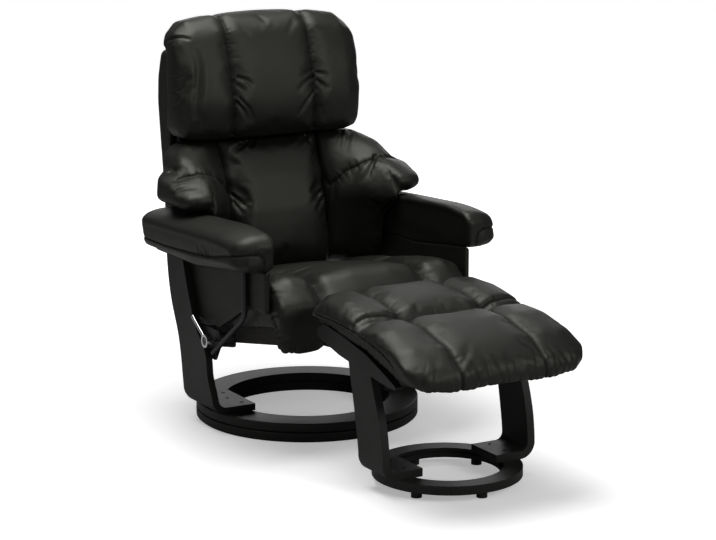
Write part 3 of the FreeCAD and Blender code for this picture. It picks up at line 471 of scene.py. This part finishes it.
def stitches(name, body, lines, pitch, length):
    """Rows of thread laid along lines, made by one node tree that puts a short thread at every step."""
    rows = bpy.data.meshes.new(name)
    points = [tuple(p) for line in lines for p in line]
    links, first = [], 0
    for line in lines:
        links += [(first + i, first + i + 1) for i in range(len(line) - 1)]
        first += len(line)
    rows.from_pydata(points, links, [])
    piece = bpy.data.objects.new(name, rows)
    bpy.context.scene.collection.objects.link(piece)
    tree = bpy.data.node_groups.new(name, "GeometryNodeTree")
    tree.interface.new_socket("Geometry", in_out="INPUT", socket_type="NodeSocketGeometry")
    step = tree.interface.new_socket("Pitch", in_out="INPUT", socket_type="NodeSocketFloat")
    size = tree.interface.new_socket("Thread length", in_out="INPUT", socket_type="NodeSocketFloat")
    tree.interface.new_socket("Geometry", in_out="OUTPUT", socket_type="NodeSocketGeometry")
    kinds = ("NodeGroupInput", "GeometryNodeMeshToCurve", "GeometryNodeResampleCurve",
             "GeometryNodeInputTangent", "FunctionNodeAlignRotationToVector",
             "GeometryNodeMeshUVSphere", "ShaderNodeCombineXYZ",
             "GeometryNodeInstanceOnPoints", "GeometryNodeRealizeInstances", "GeometryNodeSetMaterial",
             "NodeGroupOutput")
    made = [tree.nodes.new(kind) for kind in kinds]
    given, curve, even, way, turn, bead, stretch, lay, real, paint, out = made
    even.mode = "LENGTH"
    bead.inputs["Segments"].default_value = 8
    bead.inputs["Rings"].default_value = 5
    bead.inputs["Radius"].default_value = 0.5
    stretch.inputs[1].default_value = 0.0013
    stretch.inputs[2].default_value = 0.0009
    paint.inputs["Material"].default_value = thread.material
    join = tree.links.new
    join(given.outputs["Geometry"], curve.inputs["Mesh"])
    join(curve.outputs[0], even.inputs["Curve"])
    join(given.outputs["Pitch"], even.inputs["Length"])
    join(even.outputs[0], lay.inputs["Points"])
    join(way.outputs[0], turn.inputs["Vector"])
    turn.axis = "X"
    join(turn.outputs[0], lay.inputs["Rotation"])
    join(bead.outputs["Mesh"], lay.inputs["Instance"])
    join(given.outputs["Thread length"], stretch.inputs[0])
    join(stretch.outputs[0], lay.inputs["Scale"])
    join(lay.outputs[0], real.inputs[0])
    join(real.outputs[0], paint.inputs["Geometry"])
    join(paint.outputs[0], out.inputs[0])
    maker = piece.modifiers.new("thread", "NODES")
    maker.node_group = tree
    maker[step.identifier] = pitch
    maker[size.identifier] = length
    fixed(piece)
    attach(piece, body)


arm_rows = []
for side, x in (("left", -1), ("right", 1)):
    arm = blank("arm_leather_" + side, "arm_pad_" + side, 0.005, 10)
    places = coords(arm.data)
    high = np.clip((places[:, 2] - 0.475) / 0.07, 0, 1.2)
    to_front = np.clip((-0.19 - places[:, 1]) / 0.156, 0, 1)
    to_outside = np.clip((np.abs(places[:, 0]) - 0.295) / 0.078, 0, 1)
    fall = 0.015 * to_front ** 2 + 0.016 * to_outside ** 2
    put(arm.data, places - (high * fall)[:, None] * (0, 0, 1))
    evened(arm.data, 4)
    band = np.array([(0.345, 0.236, 0.474), (0.373, 0.20, 0.471), (0.373, 0.07, 0.472),
                     (0.373, -0.02, 0.477), (0.373, -0.10, 0.482), (0.373, -0.16, 0.487),
                     (0.372, -0.215, 0.494), (0.370, -0.27, 0.506), (0.364, -0.313, 0.513),
                     (0.345, -0.336, 0.518), (0.320, -0.344, 0.518), (0.306, -0.342, 0.508),
                     (0.300, -0.341, 0.480)]) * (x, 1, 1)
    core = np.stack([np.full(len(band), x * 0.315), np.clip(band[:, 1], -0.29, 0.19), band[:, 2]], 1)
    line = on_surface(arm, band * 2 - core, core, 160)
    places, lift = coords(arm.data), normals(arm.data)
    near = from_line(places, line)[0]
    off_seam = 1 - np.exp(-(near / 0.022) ** 2)
    facing_up = np.clip(lift[:, 2] + 0.45, 0, 1)
    above_band = np.clip((places[:, 2] - 0.46) / 0.03, 0, 1)
    plump = 0.007 * off_seam * facing_up * above_band
    put(arm.data, places + lift * plump[:, None])
    evened(arm.data, 4)
    finer(arm)
    line = on_surface(arm, band * 2 - core, core, 160)
    crease(arm, line, 0.004, 0.003)
    gather(arm, line, x, 5, 0.0055, 0.020, 11, (0.55, 0.645), 0.005)
    gather(arm, line, x, 8, 0.0045, 0.016, 12, (0.82, 0.93), 0.0035)
    arm_rows += [on_surface(arm, (band * 2 - core + (x * a, 0, b))[8:], (core + (x * a, 0, b))[8:], 60)
                 for a, b in ((0.004, 0.005), (-0.005, -0.005))]
    cover(arm, "carriage", "arm_pad_" + side)
    panel = blank("panel_leather_" + side, "arm_panel_" + side, 0.005, 4)
    finer(panel)
    cover(panel, "carriage", "arm_panel_" + side)
stitches("arm_stitches", "carriage", arm_rows, 0.0055, 0.004)

# Back shell
# The outside of the back: leather pulled smooth over a padded shell, with a piped edge.
shell = blank("back_shell_leather", "back_shell", 0.007, 12)
places = coords(shell.data)
at_side = np.clip((np.abs(places[:, 0]) - 0.236) / 0.006, 0, 1)
at_front = np.clip((0.335 - places[:, 1]) / 0.035, 0, 1)
put(shell.data, places - (at_side * at_front * 0.025)[:, None] * (0, 1, 0))
evened(shell.data, 3)
finer(shell)
cover(shell, "back", "back_shell")
cords = bpy.data.curves.new("shell_piping", "CURVE")
cords.dimensions = "3D"
cords.bevel_depth = 0.0035
for x in (-0.2505, 0.2505):
    run = cords.splines.new("POLY")
    run.points.add(1)
    run.points[0].co = (x, 0.279, 0.34, 1)
    run.points[1].co = (x, 0.279, 0.92, 1)
piping = bpy.data.objects.new("shell_piping", cords)
bpy.context.scene.collection.objects.link(piping)
made = bpy.data.meshes.new_from_object(piping.evaluated_get(bpy.context.evaluated_depsgraph_get()))
bpy.data.objects.remove(piping)
made.materials.append(leather.material)
piping = bpy.data.objects.new("shell_piping", made)
bpy.context.scene.collection.objects.link(piping)
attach(piping, "back")

# Lumbar panel
# The middle of the back, one long plump panel that runs up under the head pillow and is gathered there.
# Its foot goes down behind the seat.


def tucked(places):
    """Curves the panel's foot back, and carries it down behind the seat."""
    low = np.clip((0.45 - places[:, 2]) / 0.06, 0, 1)[:, None]
    ahead = np.clip((0.26 - places[:, 1:2]) / 0.16, 0, 1)
    places = places + low ** 2 * ahead * (0, 0.05, 0)
    return places - np.clip((0.48 - places[:, 2:]) / 0.07, 0, 1) * (0, 0, 0.05)


lumbar = blank("lumbar_leather", "back_centre", 0.005, 16)
put(lumbar.data, tucked(coords(lumbar.data)))
evened(lumbar.data, 4)
swell(lumbar, np.where(coords(lumbar.data)[:, 1] > 0.262, 1.0, 0.0), 4.0, 0.010)
finer(lumbar)
lumbar_folds = (
    ([(-62, 204, 698), (-104, 191, 672), (-130, 180, 647)], 0.006),
    ([(-82, 203, 695), (-110, 195, 678), (-131, 188, 662)], 0.005),
    ([(-43, 206, 700), (-63, 190, 674)], 0.004),
    ([(-138, 150, 568), (-114, 135, 544), (-93, 124, 525)], 0.006),
    ([(-136, 143, 550), (-124, 132, 530), (-113, 126, 514)], 0.005),
    ([(136, 148, 566), (94, 128, 536), (78, 122, 517)], 0.005),
    ([(134, 140, 545), (117, 130, 530), (96, 121, 505)], 0.005),
    ([(110, 203, 698), (124, 192, 672)], 0.004))
for rough, deep in lumbar_folds:
    fold(lumbar, rough, deep, 0.006, True)
cover(lumbar, "back", "back_centre")

# Wings
# Side bolsters: a flat upper panel, and below a diagonal seam a fat lobe that rolls out over the arm.


def lined(places):
    """Carries the bolster's foot down to the seat frame as a lining that closes the side of the back."""
    x, z = np.abs(places[:, 0]), places[:, 2]
    foot = np.interp(x, (0.151, 0.17, 0.209, 0.248, 0.2667, 0.2668),
                     (0.405, 0.405, 0.426, 0.454, 0.496, -10))
    low = np.where(z < 0.52, (0.52 - z) * 0.175 / (0.52 - foot), 0)
    return np.stack([places[:, 0], places[:, 1], np.where((z < 0.52) & (foot > 0), 0.52 - low, z)], 1)


wing_folds = {
    "left": (([(-309, 161, 642), (-298, 138, 652), (-281, 118, 659)], 0.004),
             ([(-345, 76, 599), (-331, 59, 615), (-288, 30, 621)], 0.005)),
    "right": (([(235, 178, 712), (221, 164, 692), (191, 134, 648)], 0.005),
              ([(217, 195, 705), (192, 162, 679), (180, 151, 654)], 0.004),
              ([(262, 95, 646), (252, 85, 636), (216, 60, 603), (201, 70, 576)], 0.007))}
for side, x in (("left", -1), ("right", 1)):
    wing = blank("wing_leather_" + side, "back_wing_" + side, 0.005, 24, lined)
    places, lift = coords(wing.data), normals(wing.data)
    out, up = np.abs(places[:, 0]), places[:, 2]
    full = 0.006 * np.clip((out - 0.19) / 0.08, 0, 1)
    full = full * np.clip((0.66 - up) / 0.04, 0, 1) * np.clip((up - 0.56) / 0.02, 0, 1)
    full += 0.012 * np.exp(-((out - 0.285) / 0.03) ** 2 - ((up - 0.668) / 0.03) ** 2)
    roll = 0.045 * np.exp(-((out - 0.256) / 0.03) ** 2 - ((up - 0.548) / 0.04) ** 2)
    roll = roll * np.clip(-lift[:, 1], 0, 1)
    put(wing.data, places + lift * full[:, None] - roll[:, None] * (0, 1, 0))
    evened(wing.data, 12)
    slant = np.array([(0.322, -0.4, 0.634), (0.304, -0.4, 0.641), (0.272, -0.4, 0.648), (0.240, -0.4, 0.641),
                      (0.216, -0.4, 0.632), (0.180, -0.4, 0.606), (0.152, -0.4, 0.568)]) * (x, 1, 1)
    line = on_surface(wing, slant, slant + (0, 0.7, 0))
    swell(wing, sink(wing, line, 0.005, 0.010), 5.0, 0.007)
    finer(wing)
    line = on_surface(wing, slant, slant + (0, 0.7, 0))
    crease(wing, line, 0.004, 0.003)
    gather(wing, line, 0, 10, 0.0015, 0.016, 31)
    for rough, deep in wing_folds[side]:
        fold(wing, rough, deep, 0.007, True)
    cover(wing, "back", "back_wing_" + side)

# Head pillow
# A thick pillow in three panels that wraps over the top of the back.
# The leather is gathered along both seams.
head = blank("head_pillow", "headrest", 0.006, 16)
sewn = np.where((normals(head.data)[:, 2] < -0.7) | (coords(head.data)[:, 1] > 0.345), 1.0, 0.0)


def head_seam(x):
    outer = [(x, 0.45, 0.99), (x, 0.40, 1.15), (x, 0.2, 1.2), (x, 0.02, 1.08), (x, -0.05, 0.87),
             (x, 0.02, 0.70), (x, 0.12, 0.62)]
    return on_surface(head, outer, [(x, 0.27, 0.87)] * 2)


for x in (-0.119, 0.119):
    sewn = np.maximum(sewn, sink(head, head_seam(x), 0.003, 0.010))
swell(head, sewn, 4.0, 0.009)
finer(head)
for x in (-0.119, 0.119):
    line = head_seam(x)
    crease(head, line, 0.008, 0.0026)
    gather(head, line, 0, 18, 0.0012, 0.014, 41 if x > 0 else 42, (0.3, 0.9))
fold(head, [(-218, 192, 952), (-215, 175, 909), (-221, 166, 859), (-235, 164, 770)], 0.007, 0.016)
top_corner = [(-265, 265, 965), (-261, 244, 972), (-253, 230, 978), (-242, 217, 979), (-224, 201, 972)]
fold(head, top_corner, 0.006, 0.006)
side_folds = ([(-266, 242, 869), (-266, 201, 876), (-253, 180, 886)],
              [(-266, 232, 834), (-265, 192, 846), (-253, 175, 860)],
              [(-266, 227, 795), (-265, 187, 811), (-255, 172, 828)])
for rough in side_folds:
    fold(head, rough, 0.003, 0.005)
seam_folds = (
    ([(-108, 167, 872), (-84, 163, 863), (-63, 158, 844)], 0.005),
    ([(-110, 166, 851), (-87, 156, 833)], 0.0035),
    ([(-115, 163, 808), (-95, 155, 782), (-82, 158, 751)], 0.007),
    ([(-108, 158, 818), (-81, 153, 786), (-64, 159, 745)], 0.005),
    ([(115, 172, 877), (95, 166, 872), (72, 161, 858)], 0.003),
    ([(115, 170, 858), (85, 159, 845), (58, 153, 821)], 0.004),
    ([(115, 165, 818), (82, 153, 787), (60, 157, 757)], 0.006),
    ([(126, 170, 869), (145, 164, 864), (165, 162, 855)], 0.004),
    ([(125, 168, 848), (142, 158, 833), (161, 155, 821)], 0.005))
for rough, deep in seam_folds:
    fold(head, rough, deep, 0.0055, True)
cover(head, "back", "headrest")

# Footstool pad
# The same leather over a curved board, in panels, with a double-stitched hem along each side.
pad = blank("stool_leather", "stool_pad", 0.006, 12)
hem = np.array([(-0.885, 0.312), (-0.851, 0.337), (-0.821, 0.356), (-0.784, 0.370), (-0.728, 0.381),
                (-0.668, 0.389), (-0.607, 0.395), (-0.549, 0.397), (-0.470, 0.395)])
places = coords(pad.data)
edge = np.interp(places[:, 1], hem[:, 0], hem[:, 1]) - 0.006
below = np.clip(edge - places[:, 2], 0, 1) * (np.abs(places[:, 0]) > 0.2132)
below = below * np.clip((places[:, 1] + 0.90) / 0.04, 0, 1)
put(pad.data, places + below[:, None] * (0, 0, 0.82))
evened(pad.data, 4)
sewn = np.where((normals(pad.data)[:, 2] < -0.6) | (below > 0), 1.0, 0.0)
seam_rays = []
for x in (-0.113, 0.113):
    seam_rays.append(([(x, -0.36, 0.36), (x, -0.42, 0.50), (x, -0.6, 0.60), (x, -0.8, 0.58), (x, -1.0, 0.45),
                       (x, -1.05, 0.33), (x, -1.02, 0.27)], [(x, -0.70, 0.33)] * 2))
for row in ([(-0.113, -0.668), (0.113, -0.668)], [(0.113, -0.655), (0.17, -0.648), (0.236, -0.642)],
            [(-0.113, -0.655), (-0.17, -0.648), (-0.236, -0.642)]):
    seam_rays.append(([(x, y, 0.6) for x, y in row], [(x, y, 0.2) for x, y in row]))
places = coords(pad.data)
notch = np.exp(-((np.abs(places[:, 0]) - 0.113) / 0.028) ** 2)
notch = notch * np.clip((-0.80 - places[:, 1]) / 0.08, 0, 1)
under = notch * np.clip((0.36 - places[:, 2]) / 0.06, 0, 1)
put(pad.data, places - notch[:, None] * (0, 0.008, 0) - under[:, None] * (0, 0, 0.011))
for number, (starts, aims) in enumerate(seam_rays):
    fade = 0.35 if number < 2 else 0
    sewn = np.maximum(sewn, sink(pad, on_surface(pad, starts, aims), 0.004, 0.008, fade))
swell(pad, sewn * np.clip((places[:, 1] + 0.93) / 0.03, 0.0, 1.0), 4.0, 0.008)
finer(pad)
for number, (starts, aims) in enumerate(seam_rays):
    line = on_surface(pad, starts, aims)
    crease(pad, line, 0.006, 0.0030)
    gather(pad, line, 0, 26 if number < 2 else 9, 0.0014, 0.013, 51 + number)
front = on_surface(pad, [(-0.23, -1.2, 0.302), (0.23, -1.2, 0.302)],
                   [(-0.23, -0.8, 0.302), (0.23, -0.8, 0.302)])
gather(pad, front, 0, 24, 0.0022, 0.04, 61)


def hem_row(x, rise):
    return on_surface(pad, [(x * 0.40, y, z + rise) for y, z in hem],
                      [(x * 0.15, y, z + rise - 0.03) for y, z in hem], 120)


hems = []
for x in (-1, 1):
    for rise, deep in ((0.001, 0.0045), (0.013, 0.005)):
        row = hem_row(x, rise)
        crease(pad, row, deep, 0.0028)
    gather(pad, row, 0, 22, 0.0016, 0.012, 71)
    for rise in (0.007, 0.0175):
        hems.append(hem_row(x, rise))
cover(pad, "stool", "stool_pad")
stitches("stool_stitches", "stool", hems, 0.0055, 0.004)

# Room, light and camera
# A pale floor that reads white where nothing shades it, and a soft studio.
# The camera stands at the photograph's angle.
floor_mesh = bpy.data.meshes.new("floor")
floor_mesh.from_pydata([(-30, -30, 0), (30, -30, 0), (30, 30, 0), (-30, 30, 0)], [], [(0, 1, 2, 3)])
floor = bpy.data.objects.new("floor", floor_mesh)
bpy.context.scene.collection.objects.link(floor)
pale = Finish("pale_floor", {"Roughness": 0.8, "Specular IOR Level": 0.0, "Emission Strength": 1.0})
seen = pale.node("ShaderNodeLightPath", {}, {})
out_from = pale.node("ShaderNodeVectorMath", {"operation": "DISTANCE"},
                     {0: pale.place(), 1: (0.1, -0.3, 0.0)}, out=1)
far = pale.node("ShaderNodeMapRange", {"interpolation_type": "SMOOTHSTEP"},
                {0: out_from, 1: 0.8, 2: 2.4, 3: 0.36, 4: 0.9})
pale.feeds(Base_Color=pale.blend(seen, (0.4, 0.4, 0.4, 1), (0.9, 0.9, 0.9, 1)), Emission_Color=seen * far)
floor_mesh.materials.append(pale.material)

world = bpy.data.worlds.new("studio")
bpy.context.scene.world = world
world.use_nodes = True
sky = world.node_tree.nodes
sky.clear()
path = sky.new("ShaderNodeLightPath")
clear = sky.new("ShaderNodeMath")
clear.operation = "MAXIMUM"
strength = sky.new("ShaderNodeMapRange")
strength.inputs[3].default_value = 0.10
strength.inputs[4].default_value = 1.0
glow = sky.new("ShaderNodeBackground")
glow.inputs["Color"].default_value = (1, 1, 1, 1)
sky_out = sky.new("ShaderNodeOutputWorld")
wire = world.node_tree.links
wire.new(path.outputs["Is Camera Ray"], clear.inputs[0])
wire.new(path.outputs["Is Transmission Ray"], clear.inputs[1])
wire.new(clear.outputs[0], strength.inputs[0])
wire.new(strength.outputs[0], glow.inputs["Strength"])
wire.new(glow.outputs[0], sky_out.inputs["Surface"])


def softbox(name, at, toward, size, power):
    lamp = bpy.data.lights.new(name, "AREA")
    lamp.shape = "RECTANGLE"
    lamp.size, lamp.size_y = size
    lamp.energy = power
    holder = bpy.data.objects.new(name, lamp)
    holder.location = at
    holder.rotation_euler = (Vector(toward) - Vector(at)).to_track_quat("-Z", "Y").to_euler()
    bpy.context.scene.collection.objects.link(holder)


softbox("over", (-0.3, 0.15, 3.3), (0, -0.35, 0.4), (2.2, 2.2), 105)
softbox("front", (1.3, -4.2, 2.4), (0, -0.2, 0.7), (1.8, 1.8), 54)
softbox("left", (-3.2, -1.2, 1.8), (-0.2, -0.2, 0.5), (1.2, 1.6), 5)
softbox("behind", (2.4, 3.6, 1.7), (0, -0.3, 0.5), (3.0, 1.8), 26)

lens = bpy.data.cameras.new("camera")
lens.sensor_width = 36
lens.lens = 119.65
camera = bpy.data.objects.new("camera", lens)
camera.location = (-2.8994, -5.2868, 1.6918)
camera.rotation_euler = Vector((0.48874, 0.84618, -0.21243)).to_track_quat("-Z", "Y").to_euler()
bpy.context.scene.collection.objects.link(camera)
bpy.context.scene.camera = camera
bpy.context.scene.view_settings.view_transform = "Standard"
